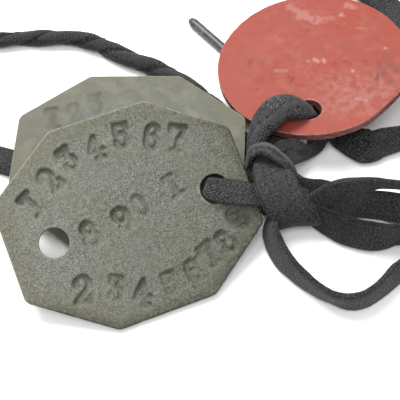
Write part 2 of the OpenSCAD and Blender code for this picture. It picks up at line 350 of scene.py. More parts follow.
END_LONG = [
    [8.2, -9.7, 2.6, 10.8, -7.5, 3.4, 1.3, 0.5, 0],
    [5.0, -8.8, 4.2, 7.8, -7.8, 5.5, 1.3, 0.2, 0.2],
    [4.7, -5.3, 5.8, 7.5, -4.2, 7.0, 1.3, 0.2, 0.5],
    [4.9, -2.1, 6.6, 8.3, -2.5, 8.0, 1.3, 0.4, 0.8],
    [6.6, 2.6, 7.0, 10.2, -1.2, 8.6, 1.3, 0.78, 1.1],
    [8.7, 4.8, 7.6, 11.5, 0.1, 9.0, 1.3, 0.80, 1.1],
    [10.8, 5.3, 8.0, 12.4, 0.2, 8.6, 1.3, 0.60, 1.1],
    [12.5, 4.8, 8.2, 13.3, 0.5, 7.8, 1.3, 0.38, 1.0],
    [13.8, 4.3, 7.6, 14.6, 1.2, 7.0, 1.3, 0.3, 0.6],
    [14.8, 4.2, 6.4, 16.1, 2.3, 5.6, 1.3, 0.3, 0.3],
    [15.0, 4.4, 5.0, 16.9, 3.2, 4.4, 1.4, 0.4, 0],
    [15.0, 4.2, 3.7, 17.2, 3.0, 3.3, 1.4, 0.5, 0],
    [16.3, 3.2, 1.8, 19.6, 4.2, 2.6, 1.3],
    [18.7, 1.2, 0.7, 22.6, 3.4, 3.2, 1.3], [21.7, -1.6, 0.5, 24.6, 1.4, 4.0, 1.3],
    [24.1, -3.0, 0.5, 25.5, 0.7, 4.9, 1.3], [25.4, -3.0, 0.5, 26.4, 0.5, 5.1, 1.3],
    [27.5, -1.9, 0.5, 28.2, 0.8, 5.4, 1.3], [31.0, -0.6, 0.5, 30.3, 0.9, 5.5, 1.3],
    [34.6, 2.4, 3.1, 5.7, 1.3, 86],
    [36.6, 6.8, 3.0, 5.7, 1.3, 76], [37.6, 12.4, 2.7, 5.7, 1.3, 52],
    [37.4, 18.8, 1.9, 5.8, 1.2, 24], [36, 25.4, 1.3, 5.9, 1.2, 8],
    [33.2, 31.4, 1.0, 5.9, 1.2, 2], [29.2, 36.8, 0.9, 5.8, 1.2, 0],
    [24.2, 40.4, 0.85, 5.5, 1.2, 0],
    [18.5, 42.3, 0.85, 4.6, 1.2, 0], [12.4, 43.4, 0.95, 1.6, 1.6, 0]]
# up through the eight-sided tags, into the knot, round it and out to the
# short end
WRAP = [
    [9.0, -9.4, 2.2, 2.6, 1.2, 0], [3, -6.6, 2.6, 3.4, 1.2, 0],
    [-0.6, -5.3, 3.3, 3.2, 1.2, 0], [-1.75, -5.5, 4.8, 3.0, 1.3, 0],
    [-1.75, -6.3, 6.2, 3.2, 1.3, 0], [-1.2, -8.8, 6.5, 3.6, 1.2, 0],
    [-0.8, -11.5, 6.2, 3.2, 1.3, 0],
    [-1.6, -10.4, 7.6, -1.0, -14.2, 7.0, 1.6],
    [2.2, -11.3, 8.3, 2.0, -15.6, 7.6, 1.2],
    [4.75, -11.5, 7.7, 5.3, -15.3, 6.95, 0.8],
    [7.3, -11.4, 5.4, 7.75, -14.3, 4.7, 0.8],
    [9.6, -11.6, 3.2, 9.8, -14.0, 2.4, 1.3],
    [12.0, -13.0, 0.9, 15.8, -12.0, 1.0, 1.2],
    [10.1, -15.7, 1.5, 17.0, -14.7, 1.9, 1.2],
    [8.1, -16.4, 3.8, 16.3, -15.0, 4.0, 1.2],
    [6.7, -15.2, 6.4, 14.3, -14.2, 6.2, 1.2],
    [5.7, -13.1, 8.0, 12.7, -12.5, 7.9, 1.2],
    [5.3, -10.4, 8.3, 11.5, -10.1, 8.1, 1.2],
    [5.7, -7.8, 7.4, 10.5, -7.7, 7.2, 1.2],
    [6.6, -5.6, 5.6, 9.7, -5.8, 5.6, 1.2],
    [7.2, -6.0, 3.6, 8.0, -7.4, 3.2, 1.2],
    [5.25, -7.9, 4.0, 5.1, -5.5, 4.8, 0.8, 0.5, 0],
    [5.1, -7.9, 6.6, 5.0, -5.3, 6.8, 0.8, 0.45, 0.2],
    [5.4, -7.8, 8.8, 5.7, -4.8, 7.8, 0.9, 0.42, 0.45],
    [6.6, -7.6, 9.8, 7.5, -4.7, 8.5, 0.85, 0.36, 0.55],
    [7.8, -8.3, 10.0, 8.8, -5.5, 8.7, 0.85, 0.42, 0.55],
    [9.2, -9.0, 9.3, 10.1, -6.7, 8.4, 0.85, 0.52, 0.50],
    [10.4, -9.6, 8.2, 11.6, -7.8, 7.6, 0.9, 0.55, 0.30],
    [11.3, -9.6, 6.2, 12.4, -8.4, 6.0, 1.2, 0.5, 0],
    [10.9, -9.0, 4.2, 12.2, -7.6, 4.2, 1.2],
    [10.5, -7.5, 3.2, 9.0, -4.9, 5.8, 1.2, 0.5, 0],
    [11.3, -6.7, 3.4, 9.6, -3.7, 7.0, 1.2, 0.74, 0.55],
    [12.6, -5.6, 3.2, 11.3, -2.7, 6.8, 1.2, 0.72, 0.7],
    [13.7, -4.4, 2.4, 13.0, -1.9, 5.2, 1.2, 0.62, 0.6],
    [15.8, -2.5, 1.1, 14.4, -1.6, 3.6, 1.2],
    [18.2, -0.2, 0.7, 15.4, 0.6, 1.9, 1.2],
    [19.6, 3.0, FZ, 15.2, 4.7, FZ, 1.2],
    [18.2, 7.6, FZ, 14.4, 6.6, FZ, 1.2],
    [13.0, 9.6, FZ, 4.2, 1.2, 0], [8.2, 13.9, 0.93, 1.5, 1.5, 0]]


def lace_cord(name, rows, nodes, far_end, with_pieces=(), lay="loose", **kw):
    ob, path, length = lace(name, rows, **kw)
    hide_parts(*nodes)
    return ob


aglet_1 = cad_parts["aglet_1"]
aglet_2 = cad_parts["aglet_2"]
neck = lace_cord("neck_lace", NECK, ["lace_neck"], "object",
                 step=0.5, rope=(3, 68, 15.0), seed=2)
# painted shade: listed stretches of the big loop are darkened, most where the knot shades its end; rim=0.12
# keeps its painted rim shade slight
bow_large = lace_cord("bow_large", BOW_LARGE, ["lace_bow_large"], "object",
                      step=0.3, seed=3, felt_rows=((1, 10, 1.0), (13, 26, 0.66)), rim=0.12,
                      dim_rows=((1, 9, 0.10), (13, 24, 0.12), (23, 26, 0.2), (24, 26, 0.34)))
# painted shade: rows 16 to 22 of the small loop are darkened where the strap above shades them
bow_small = lace_cord("bow_small", BOW_SMALL, ["lace_bow_small"], "object",
                      step=0.3, seed=4, dim_rows=((16, 22, 0.16), (18, 22, 0.16)))
end_long = lace_cord("end_long", END_LONG, ["lace_end_long"], "fitting",
                     [aglet_2], step=0.3, sides=40, seed=5,
                     felt_rows=((13, 19, 0.45), (19, 28, 0.85)))
# painted light: rows 22 to 28 of the wrap are lightened; fold=0.30 makes the painted shadow under its fold
# lighter
wrap = lace_cord("knot_wrap", WRAP, ["lace_tag_loop", "lace_end_short"],
                 "fitting", [aglet_1], step=0.3, sides=40, seed=6,
                 felt_rows=((11, 33, 1.0),), fold=0.30,
                 dim_rows=((22, 28, -0.09),))

# the lace packed inside the knot
KNOT = [
    [10.2, 2.4, 2.4, 4.4, 1.2, 5], [9.6, -0.6, 3.3, 5.0, 1.3, 8],
    [9.2, -4.0, 3.9, 5.0, 1.6, 10], [8.8, -8.4, 3.4, 4.4, 1.8, 20],
    [9.0, -12.9, 2.4, 4.4, 1.6, 20], [9.2, -10.4, 4.4, 5.0, 2.4, 10],
    [9.6, -8.0, 4.6, 5.0, 2.4, 0], [10.2, -5.6, 3.4, 4.6, 2.0, 0],
    [11.3, -6.6, 2.0, 3.4, 1.8, 0], [12.4, -9.2, 2.6, 4.6, 2.4, 0],
    [12.4, -12.6, 2.4, 4.6, 2.0, 0]]
core, _, _ = lace("knot_core", KNOT, step=0.3, seed=8)
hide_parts("lace_knot")

# ---------------------------------------------------------------- discs
def oval(cx, cy, rx, ry, a0=0.0, a1=360.0, n=16):
    return [(cx + rx * math.cos(math.radians(a0 + (a1 - a0) * k / n)),
             cy + ry * math.sin(math.radians(a0 + (a1 - a0) * k / n)))
            for k in range(n + 1)]


# strokes of the numerals in a box from -1 to 1, with slab feet
DIGITS = {
    "0": [oval(0, 0, 0.72, 0.95)],
    "1": [[(-0.62, 0.70), (-0.62, 0.95), (0.55, 0.95)], [(0, 0.95), (0, -0.92)],
          [(-0.66, -0.95), (0.66, -0.95)]],
    "2": [[(-0.66, 0.30), (-0.66, 0.62)],
          oval(0, 0.40, 0.64, 0.56, 165, -40, 10)
          + [(-0.66, -0.92), (0.72, -0.92), (0.72, -0.50)]],
    "3": [[(-0.66, 0.55), (-0.66, 0.95), (0.62, 0.95), (-0.02, 0.2)]
          + oval(0, -0.38, 0.66, 0.58, 80, -150, 10), [(-0.62, -0.66), (-0.62, -0.36)]],
    "4": [[(0.28, -0.92), (0.28, 0.92), (-0.74, -0.3), (0.80, -0.3)],
          [(-0.1, -0.95), (0.66, -0.95)]],
    "5": [[(0.70, 0.60), (0.70, 0.95), (-0.48, 0.95), (-0.56, 0.08)]
          + oval(0, -0.34, 0.66, 0.6, 120, -150, 11), [(-0.6, -0.62), (-0.6, -0.36)]],
    "6": [oval(0.1, 0.1, 0.76, 0.88, 50, 190, 9) + [(-0.66, -0.3)],
          oval(0, -0.38, 0.66, 0.56), [(0.60, 0.78), (0.60, 0.52)]],
    "7": [[(-0.72, 0.50), (-0.72, 0.93), (0.72, 0.93), (0.08, -0.1), (-0.10, -0.92)],
          [(-0.50, -0.95), (0.30, -0.95)]],
    "8": [oval(0, 0.48, 0.50, 0.46), oval(0, -0.44, 0.68, 0.50)],
    "9": [oval(-0.1, -0.1, 0.76, 0.88, 230, 370, 9) + [(0.66, 0.3)],
          oval(0, 0.38, 0.66, 0.56), [(-0.60, -0.78), (-0.60, -0.52)]],
}


def stroke_distance(x, y, lines):
    d = np.full(x.shape, 9.0)
    for line in lines:
        for (ax, ay), (bx, by) in zip(line[:-1], line[1:]):
            vx, vy = bx - ax, by - ay
            k = np.clip(((x - ax) * vx + (y - ay) * vy) / max(vx * vx + vy * vy, 1e-9), 0, 1)
            d = np.minimum(d, np.hypot(x - ax - k * vx, y - ay - k * vy))
    return d


def stamps(x, y, marks):
    """Depth and pit shade of punched numerals. A mark is the numeral, its
    middle, its turn in degrees, half width, half height, depth and seed."""
    z = np.zeros_like(x)
    pit = np.zeros_like(x)
    for ch, cx, cy, turn, hw, hh, deep, seed in marks:
        a = math.radians(turn)
        u = (x - cx) * math.cos(a) + (y - cy) * math.sin(a)
        v = -(x - cx) * math.sin(a) + (y - cy) * math.cos(a)
        near = (np.abs(u) < hw + 2.2) & (np.abs(v) < hh + 2.2)
        if not near.any():
            continue
        uu, vv = u[near], v[near]
        r = np.random.default_rng(seed)
        jx = 0.07 * value_noise(x[near], y[near], 0.9, seed + 50)
        hw2, hh2 = (hw * 1.10, hh * 1.13) if hw > 0.8 else (hw, hh)
        lines = [[(px * hw2, py * hh2) for px, py in ln] for ln in DIGITS[ch]]
        d = stroke_distance(uu + jx, vv - jx, lines)
        pen = 0.43 * min(hw / 1.2, 1.0) * (1 + 0.20 * value_noise(uu, vv, 1.1, seed + 9))
        groove = np.exp(-(d / pen) ** 6.5)
        if hw > 0.8:
            ox, oy = r.uniform(-0.5, 0.5), r.uniform(-0.55, -0.25)
            d2 = stroke_distance(uu + jx - ox, vv - jx - oy, lines)
            groove = np.maximum(groove, 0.25 * np.exp(-(d2 / pen) ** 5.0))
        tx, ty = r.uniform(-0.35, 0.35), r.uniform(0.10, 0.42)
        force = np.clip(0.72 + tx * uu / hw + ty * vv / hh
                        + 0.30 * value_noise(uu, vv, 1.4, seed + 3), 0.12, 1.1)
        dish = np.exp(-((uu / (hw + 0.75)) ** 4 + (vv / (hh + 0.75)) ** 4))
        lip = np.exp(-((d - pen - 0.33) / 0.22) ** 2)
        z[near] += 1.95 * deep * (-groove * force - 0.15 * dish + 0.12 * lip * force)
        pit[near] = np.maximum(pit[near], groove * force)
    return z, pit


def octagon_edge(corners, r):
    """Distance inside the border of a convex outline with rounded corners."""
    c = np.array(corners, float)
    n = len(c)
    nrm, off = [], []
    for i in range(n):
        e = unit(c[(i + 1) % n] - c[i])
        m = np.array([-e[1], e[0]])
        nrm.append(m)
        off.append(float(m @ c[i]) + r)
    inner = []
    for i in range(n):
        a, b = nrm[i - 1], nrm[i]
        inner.append(np.linalg.solve(np.array([a, b]), np.array([off[i - 1], off[i]])))

    def f(x, y):
        d = np.min([nrm[i][0] * x + nrm[i][1] * y - off[i] for i in range(n)], axis=0)
        out = stroke_distance(x, y, [[tuple(p) for p in inner] + [tuple(inner[0])]])
        return np.where(d >= 0, d + r, r - out)
    return f


def plate(name, border, holes, hole_r, thick, half, step, relief, fray, seed,
          pose, paint, lip=0.22, fray_amp=0.05):
    """A thin plate cut from a grid at its border, with a rounded arris, a
    rough cut wall and a height field on top."""
    nx = int(half[0] / step) + 2
    ny = int(half[1] / step) + 2
    gx, gy = np.meshgrid(np.arange(-nx, nx + 1) * step,
                         np.arange(-ny, ny + 1) * step, indexing="ij")

    def dist(x, y):
        e = border(x, y) - fray_amp * (0.5 + 0.5 * fray(x, y))
        h = np.min([np.hypot(x - a, y - b) - hole_r for a, b in holes], axis=0)
        return e, h

    def inset(x, y):
        e, h = dist(x, y)
        return np.minimum(e, h + 0.5 * lip) - lip

    F = inset(gx, gy)
    # nodes close to the cut are moved onto it
    eps = 1e-3
    for _ in range(2):
        G = np.stack([(inset(gx + eps, gy) - inset(gx - eps, gy)) / (2 * eps),
                      (inset(gx, gy + eps) - inset(gx, gy - eps)) / (2 * eps)])
        g2 = np.maximum(G[0] ** 2 + G[1] ** 2, 0.2)
        near = np.abs(F) < 0.32 * step
        gx = np.where(near, gx - F * G[0] / g2, gx)
        gy = np.where(near, gy - F * G[1] / g2, gy)
        F = inset(gx, gy)
    on = np.abs(F) < 0.02 * step
    sign = np.where(on, 0, np.sign(F)).astype(int)
    ids = -np.ones(gx.shape, int)
    px, py = [], []
    keep = sign >= 0
    ids[keep] = np.arange(keep.sum())
    px = list(gx[keep])
    py = list(gy[keep])
    cut = {}
    I, J = gx.shape

    def edge_point(a, b):
        k = (a, b) if a < b else (b, a)
        if k not in cut:
            fa, fb = F[a], F[b]
            t = fa / (fa - fb)
            cut[k] = len(px)
            px.append(gx[a] + t * (gx[b] - gx[a]))
            py.append(gy[a] + t * (gy[b] - gy[a]))
        return cut[k]

    faces = []
    s00, s10, s11, s01 = sign[:-1, :-1], sign[1:, :-1], sign[1:, 1:], sign[:-1, 1:]
    full = (s00 >= 0) & (s10 >= 0) & (s11 >= 0) & (s01 >= 0)
    some = (np.maximum.reduce([s00, s10, s11, s01]) > 0) & ~full
    whole = full & (np.maximum.reduce([s00, s10, s11, s01]) > 0)
    ii, jj = np.nonzero(whole)
    for i, j in zip(ii, jj):
        faces.append((ids[i, j], ids[i + 1, j], ids[i + 1, j + 1], ids[i, j + 1]))
    for i, j in zip(*np.nonzero(some)):
        ring = [(i, j), (i + 1, j), (i + 1, j + 1), (i, j + 1)]
        poly = []
        for k in range(4):
            a, b = ring[k], ring[(k + 1) % 4]
            if sign[a] >= 0:
                poly.append(ids[a])
            if sign[a] * sign[b] < 0:
                poly.append(edge_point(a, b))
        if len(poly) >= 3:
            faces.append(tuple(poly))
    px, py = np.array(px), np.array(py)
    # border edges, each with the plate on its left
    count = {}
    for f in faces:
        for k in range(len(f)):
            a, b = f[k], f[(k + 1) % len(f)]
            count[(a, b)] = 1
    rim = [(a, b) for (a, b) in count if (b, a) not in count]
    used = np.unique(np.concatenate([np.array(f) for f in faces]))
    remap = -np.ones(len(px), int)
    remap[used] = np.arange(len(used))
    px, py = px[used], py[used]
    faces = [tuple(remap[list(f)]) for f in faces]
    rim = [(remap[a], remap[b]) for a, b in rim]
    n0 = len(px)
    e, h = dist(px, py)
    top, pit = relief(px, py)
    under = -thick + 0.02 * value_noise(px, py, 2.5, seed + 21)
    V = [np.c_[px, py, top], np.c_[px, py, under]]
    FORM = [np.c_[e, h, pit], np.c_[e, h, 0 * pit]]
    WALL = [np.zeros(n0), np.zeros(n0)]
    # rings of the arris and the wall
    rv = np.array(sorted({a for a, _ in rim} | {b for _, b in rim}))
    ri = {v: k for k, v in enumerate(rv)}
    bx, by = px[rv], py[rv]
    G = np.stack([(inset(bx + eps, by) - inset(bx - eps, by)) / (2 * eps),
                  (inset(bx, by + eps) - inset(bx, by - eps)) / (2 * eps)])
    G = G / np.maximum(np.hypot(G[0], G[1]), 1e-6)
    at_hole = h[rv] + 0.5 * lip < e[rv]
    rad = np.where(at_hole, 0.5 * lip, lip)
    zt, zb = top[rv], under[rv]
    rings = [rv]
    base = 2 * n0
    prof = []
    for k in range(1, 4):
        a = math.radians(30 * k)
        prof.append(("t", math.sin(a), 1 - math.cos(a)))
    for k in range(1, 5):
        prof.append(("w", 1.0, k / 5))
    for k in range(3, 0, -1):
        a = math.radians(30 * k)
        prof.append(("b", math.sin(a), 1 - math.cos(a)))
    ang = np.arctan2(by, bx) * 18
    for q, (kind, outw, val) in enumerate(prof):
        o = rad * outw
        if kind == "t":
            z = zt - rad * val
        elif kind == "b":
            z = zb + rad * val
        else:
            z = (zt - rad) * (1 - val) + (zb + rad) * val
        ply = 0.0
        if kind == "w":
            ply = (0.035 * (-1) ** q
                   + 0.035 * value_noise(ang, 0 * ang + q * 3.3, 0.45, seed + 31))
        if q in (2, 7):
            ply = 0.02 * value_noise(ang, 0 * ang + q * 3.3, 0.45, seed + 31)
        o = o + np.minimum(ply, 0.0) * 1.4
        V.append(np.c_[bx - G[0] * o, by - G[1] * o, z])
        FORM.append(np.c_[np.where(at_hole, 3.0, 0.0) + 0 * o,
                          np.where(at_hole, 0.0, 3.0) + 0 * o, 0 * o])
        WALL.append(np.full(len(rv), {"t": 0.33 * (q + 1), "w": 1.0,
                                      "b": 1.0}[kind]) * 1.0)
        rings.append(np.arange(len(rv)) + base)
        base += len(rv)
    rings.append(rv + n0)
    allf = list(faces)
    allf += [tuple(np.array(f[::-1]) + n0) for f in faces]
    for q in range(len(rings) - 1):
        A, B = rings[q], rings[q + 1]
        for a, b in rim:
            ka, kb = ri[a], ri[b]
            allf.append((B[ka], B[kb], A[kb], A[ka]))
    V = np.concatenate(V)
    c, lean, turn = pose
    yaw, ax, ay = (math.radians(v) for v in (turn, lean[0], lean[1]))
    Rz = np.array([[math.cos(yaw), -math.sin(yaw), 0], [math.sin(yaw), math.cos(yaw), 0], [0, 0, 1]])
    Rx = np.array([[1, 0, 0], [0, math.cos(ax), -math.sin(ax)], [0, math.sin(ax), math.cos(ax)]])
    Ry = np.array([[math.cos(ay), 0, math.sin(ay)], [0, 1, 0], [-math.sin(ay), 0, math.cos(ay)]])
    M = Ry @ Rx @ Rz
    W = LAY + np.array(c) + V @ M.T
    W[:, 2] = np.maximum(W[:, 2], 0.01)
    ob = mesh_object(name, W, [tuple(int(v) for v in f) for f in allf])
    attr3(ob, "loc", V)
    attr3(ob, "form", np.concatenate(FORM))
    w = ob.data.attributes.new("wall", "FLOAT", "POINT")
    w.data.foreach_set("value", np.concatenate(WALL).astype(np.float32))
    col = paint(V[:, 0], V[:, 1])
    col[n0:] = 0
    attr3(ob, "paint", col)
    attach(ob, "root")
    return ob


OCTO = [(19, -7.7), (19, 7.7), (7.7, 15.85), (-7.7, 15.85), (-19, 7.7),
        (-19, -7.7), (-7.7, -15.85), (7.7, -15.85)]
octo_edge = octagon_edge(OCTO, 1.7)
# the front one is a little uneven
front_edge = octagon_edge([(19, -8.0), (19, 7.7), (7.7, 15.85), (-7.7, 15.85),
                           (-19.2, 7.6), (-18.95, -7.5), (-7.35, -15.95),
                           (7.95, -15.95)], 1.7)

W1, H1 = 1.25, 1.68
FRONT_MARKS = [
    ("1", -13.3, 6.0, 32, 1.25, 1.7, 0.34, 1), ("2", -9.8, 8.6, 32, W1, H1, 0.30, 2),
    ("3", -6.2, 10.8, 20, 1.2, 1.6, 0.30, 3), ("4", -1.9, 11.2, 3, 1.2, 1.6, 0.28, 4),
    ("5", 2.5, 11.6, -9, W1, H1, 0.27, 5), ("6", 7.0, 10.0, -21, W1, 1.75, 0.31, 6),
    ("7", 10.6, 8.5, -25, 1.3, 1.8, 0.31, 7),
    ("8", -6.8, -1.1, 6, 1.35, 1.7, 0.33, 8), ("9", -1.5, -0.5, 10, 1.25, 1.6, 0.30, 9),
    ("0", 1.7, 0.6, 15, 0.9, 1.5, 0.22, 10), ("1", 7.5, 1.8, 16, 1.1, 1.5, 0.2, 11),
    ("2", -10.5, -8.5, -16, 1.3, 1.75, 0.34, 12), ("3", -5.9, -10.0, -22, 1.1, 1.6, 0.22, 13),
    ("4", -2.5, -11.9, -14, 1.3, 1.75, 0.34, 14), ("5", 2.0, -12.0, 5, 1.1, 1.5, 0.22, 15),
    ("6", 6.0, -11.5, 14, 1.1, 1.5, 0.2, 16), ("7", 9.2, -9.9, 20, 1.2, 1.6, 0.24, 17),
    ("8", 12.3, -8.9, 33, 1.2, 1.6, 0.28, 18), ("9", 15.3, -6.1, 46, 1.2, 1.6, 0.30, 19)]
BACK_MARKS = [
    ("1", -13.2, 7.3, 12, 1.2, 1.7, 0.16, 31), ("2", -9.6, 8.4, 20, 1.2, 1.6, 0.06, 32),
    ("3", -6.2, 10.3, 12, 1.2, 1.6, 0.04, 33),
    ("7", -6.4, -9.5, -16, 1.2, 1.6, 0.18, 37), ("8", -1.5, -11.2, -4, 1.2, 1.6, 0.18, 38),
    ("9", 4.2, -10.8, 9, 1.2, 1.6, 0.18, 39)]
RED_MARKS = []
rr = np.random.default_rng(7)
for row, v0, lo, hi in (("0123456789", -0.8, -10.6, 11.4), ("98765432", -4.6, -9.6, 9.8)):
    for k, (ch, u) in enumerate(zip(row, np.linspace(lo, hi, len(row)))):
        u = float(u) + rr.uniform(-0.35, 0.35)
        RED_MARKS.append((ch, u, v0 - 0.13 * u + rr.uniform(-0.2, 0.2),
                          -7 + rr.uniform(-9, 9), rr.uniform(0.42, 0.6),
                          rr.uniform(0.65, 0.9), rr.uniform(0.0, 0.085), 60 + k))
# short dents, each from one point to another with its half width and depth
RED_DENTS = [
    (-1.6, 8.0, 0.0, 7.7, 0.30, 0.12), (4.7, 7.6, 6.4, 7.1, 0.34, 0.14),
    (4.9, -0.8, 6.5, -1.0, 0.26, 0.10), (-10.2, -5.4, -8.2, -5.4, 0.22, 0.12),
    (-3.4, -5.3, 1.9, -5.8, 0.20, 0.10), (-7.0, -2.1, -4.3, -2.4, 0.22, 0.08),
    (10.7, -3.9, 10.3, -7.3, 0.28, 0.10), (3.9, -5.6, 5.2, -6.3, 0.24, 0.09),
    (-8.6, -2.2, -8.5, -3.6, 0.2, 0.07), (-0.4, -3.1, -0.2, -4.2, 0.2, 0.08),
    (2.6, -3.0, 3.6, -3.6, 0.2, 0.06), (7.4, -2.0, 7.9, -3.3, 0.2, 0.07),
    (8.6, -5.2, 9.5, -5.6, 0.22, 0.08), (-6.2, -4.6, -5.6, -5.7, 0.2, 0.07),
    (3.6, 3.4, 5.3, 3.1, 0.22, 0.05), (-4.4, 3.6, -3.0, 3.5, 0.22, 0.04)]


# rubbed and struck places on the front tag: from, to, half width, depth
# (below zero stands up)
FRONT_DENTS = [
    (1.8, -10.3, 5.9, -10.0, 0.34, 0.16), (6.3, -9.8, 10.2, -8.5, 0.36, 0.20),
    (10.6, -8.0, 12.9, -7.4, 0.34, 0.20), (14.6, -5.0, 14.7, -7.3, 0.35, 0.22),
    (16.0, -4.8, 16.6, -6.0, 0.35, 0.20), (11.1, -9.9, 11.4, -12.0, 0.30, 0.14),
    (4.9, -11.3, 5.5, -13.7, 0.40, 0.12), (9.3, -9.9, 9.5, -11.6, 0.50, 0.14),
    (7.4, -10.6, 7.6, -12.6, 0.20, -0.14), (10.2, -8.9, 10.8, -11.1, 0.20, -0.14),
    (13.8, -5.5, 15.6, -6.8, 0.20, -0.15), (15.8, -7.1, 17.4, -4.9, 0.26, -0.16),
    (1.3, -11.7, 3.2, -11.3, 0.20, -0.12), (12.2, -9.2, 14.2, -8.0, 0.22, -0.14)]


def front_relief(x, y):
    z, pit = stamps(x, y, FRONT_MARKS)
    # painted shade: the side of each stroke turned from the light is darkened through the pit channel
    shaded, _ = stamp_edges(x, y, FRONT_MARKS, -0.32, 0.95)
    pit = np.maximum(0.5 * pit, 1.1 * shaded)
    for ax, ay, bx, by, wd, dp in FRONT_DENTS:
        d = stroke_distance(x + 0.25 * value_noise(x, y, 0.8, 105),
                            y + 0.25 * value_noise(x, y, 0.8, 106), [[(ax, ay), (bx, by)]])
        g = np.exp(-(d / wd) ** 2) * smooth(0.65 + 0.8 * value_noise(x, y, 0.6, 107))
        z = z - dp * g
        if dp > 0:
            pit = np.maximum(pit, 0.9 * g)
    z = z + 0.035 * value_noise(x, y, 7.0, 101) + 0.022 * value_noise(x, y, 2.6, 102)
    z = z + 0.018 * value_noise(x, y, 0.9, 103) + 0.013 * value_noise(x, y, 0.42, 104)
    return z - 0.05, pit


def stamp_edges(x, y, marks, lx, ly):
    """Painted shade on the side of each punched stroke turned from the light
    and a painted highlight on its lip turned to the light, for light that comes from lx, ly."""
    shaded = np.zeros_like(x)
    lip_highlight = np.zeros_like(x)
    for ch, cx, cy, turn, hw, hh, deep, seed in marks:
        a = math.radians(turn)
        u = (x - cx) * math.cos(a) + (y - cy) * math.sin(a)
        v = -(x - cx) * math.sin(a) + (y - cy) * math.cos(a)
        near = (np.abs(u) < hw + 1.2) & (np.abs(v) < hh + 1.2)
        if not near.any():
            continue
        uu, vv = u[near], v[near]
        lu = lx * math.cos(a) + ly * math.sin(a)
        lv = -lx * math.sin(a) + ly * math.cos(a)
        jx = 0.07 * value_noise(x[near], y[near], 0.9, seed + 50)
        hw2, hh2 = hw * 1.10, hh * 1.13
        lines = [[(px * hw2, py * hh2) for px, py in ln] for ln in DIGITS[ch]]
        d = stroke_distance(uu + jx, vv - jx, lines)
        to = stroke_distance(uu + jx + 0.12 * lu, vv - jx + 0.12 * lv, lines)
        facing = np.clip((to - d) / 0.12, -1, 1)
        pen = 0.43 * (1 + 0.20 * value_noise(uu, vv, 1.1, seed + 9))
        r = np.random.default_rng(seed)
        r.uniform(-0.5, 0.5), r.uniform(-0.55, -0.25)
        tx, ty = r.uniform(-0.35, 0.35), r.uniform(0.10, 0.42)
        force = np.clip(0.72 + tx * uu / hw + ty * vv / hh
                        + 0.30 * value_noise(uu, vv, 1.4, seed + 3), 0.12, 1.1)
        force = force * min(deep / 0.3, 1.1)
        dark = np.exp(-((d - pen + 0.06) / 0.13) ** 2) * (0.35 + 0.65 * facing) * force
        pale = np.exp(-((d - pen - 0.08) / 0.12) ** 2) * (0.25 - 0.75 * facing) * force
        pale = pale * smooth(0.5 + 0.9 * value_noise(uu, vv, 0.5, seed + 21))
        shaded[near] = np.maximum(shaded[near], dark)
        lip_highlight[near] = np.maximum(lip_highlight[near], pale)
    return shaded, lip_highlight


def back_relief(x, y):
    z, pit = stamps(x, y, BACK_MARKS)
    z = z + 0.030 * value_noise(x, y, 6.0, 111) + 0.014 * value_noise(x, y, 2.2, 112)
    z = z + 0.006 * value_noise(x, y, 0.6, 113)
    return z - 0.04, pit


def red_relief(x, y):
    z, pit = stamps(x, y, RED_MARKS)
    worn = smooth(0.45 + 0.9 * value_noise(x, y, 0.9, 132))
    pit = pit * (0.10 + 0.60 * worn)
    for ax, ay, bx, by, wd, dp in RED_DENTS:
        d = stroke_distance(x, y, [[(ax, ay), (bx, by)]])
        d = d * (1 + 0.35 * value_noise(x, y, 0.5, 131))
        g = np.exp(-(d / wd) ** 2) * smooth(0.55 + 0.9 * value_noise(x, y, 0.55, 133))
        z = z - dp * g
        pit = np.maximum(pit, g * dp / 0.13)
    z = z + 0.020 * value_noise(x, y, 5.0, 121) + 0.010 * value_noise(x, y, 1.6, 122)
    z = z + 0.004 * value_noise(x, y, 0.5, 123)
    return z - 0.03, pit


def octo_fray(seed):
    return lambda x, y: (0.6 * value_noise(x, y, 1.5, seed)
                         + 0.5 * value_noise(x, y, 0.6, seed + 1))


def red_fray(x, y):
    n = 0.6 * value_noise(x, y, 2.2, 141) + 0.4 * value_noise(x, y, 0.8, 142)
    chip = 0
    for cx, cy, cr, k in ((-13.2, 10.3, 1.0, 5.0), (-11.5, 12.1, 0.8, 4.0),
                          (-14.6, 7.6, 0.6, 3.0), (-9.0, 13.9, 0.7, 2.5),
                          (4.5, -15.9, 0.7, 2.5), (9.8, -13.3, 0.6, 2.5)):
        chip = chip + k * np.exp(-((x - cx) ** 2 + (y - cy) ** 2) / cr**2)
    return n + chip


def spots(x, y, rows, ragged, seed):
    """Ragged spots; a row is a line from one point to another, half width,
    strength."""
    out = np.zeros_like(x)
    n = value_noise(x, y, ragged, seed) + 0.6 * value_noise(x, y, ragged * 0.45, seed + 1)
    for ax, ay, bx, by, wd, k in rows:
        d = stroke_distance(x, y, [[(ax, ay), (bx, by)]])
        out = np.maximum(out, k * smooth(1.25 - d / wd + 0.55 * n))
    return np.clip(out, 0, 1)


def front_paint(x, y):
    pale = spots(x, y, [(11.3, -1.6, 11.0, 0.3, 0.35, 0.8), (13.0, -3.2, 14.0, -3.1, 0.3, 0.7),
                        (-12.9, 1.95, -11.2, 1.9, 0.25, 0.45),
                        (-14.4, -1.4, -13.6, -2.6, 0.22, 0.5)], 0.5, 171)
    # painted highlight: the stroke lips turned to the light are paled
    _, lip_highlight = stamp_edges(x, y, FRONT_MARKS, -0.32, 0.95)
    pale = np.maximum(pale, 0.42 * lip_highlight)
    return np.c_[pale, 0 * x, 0 * x]


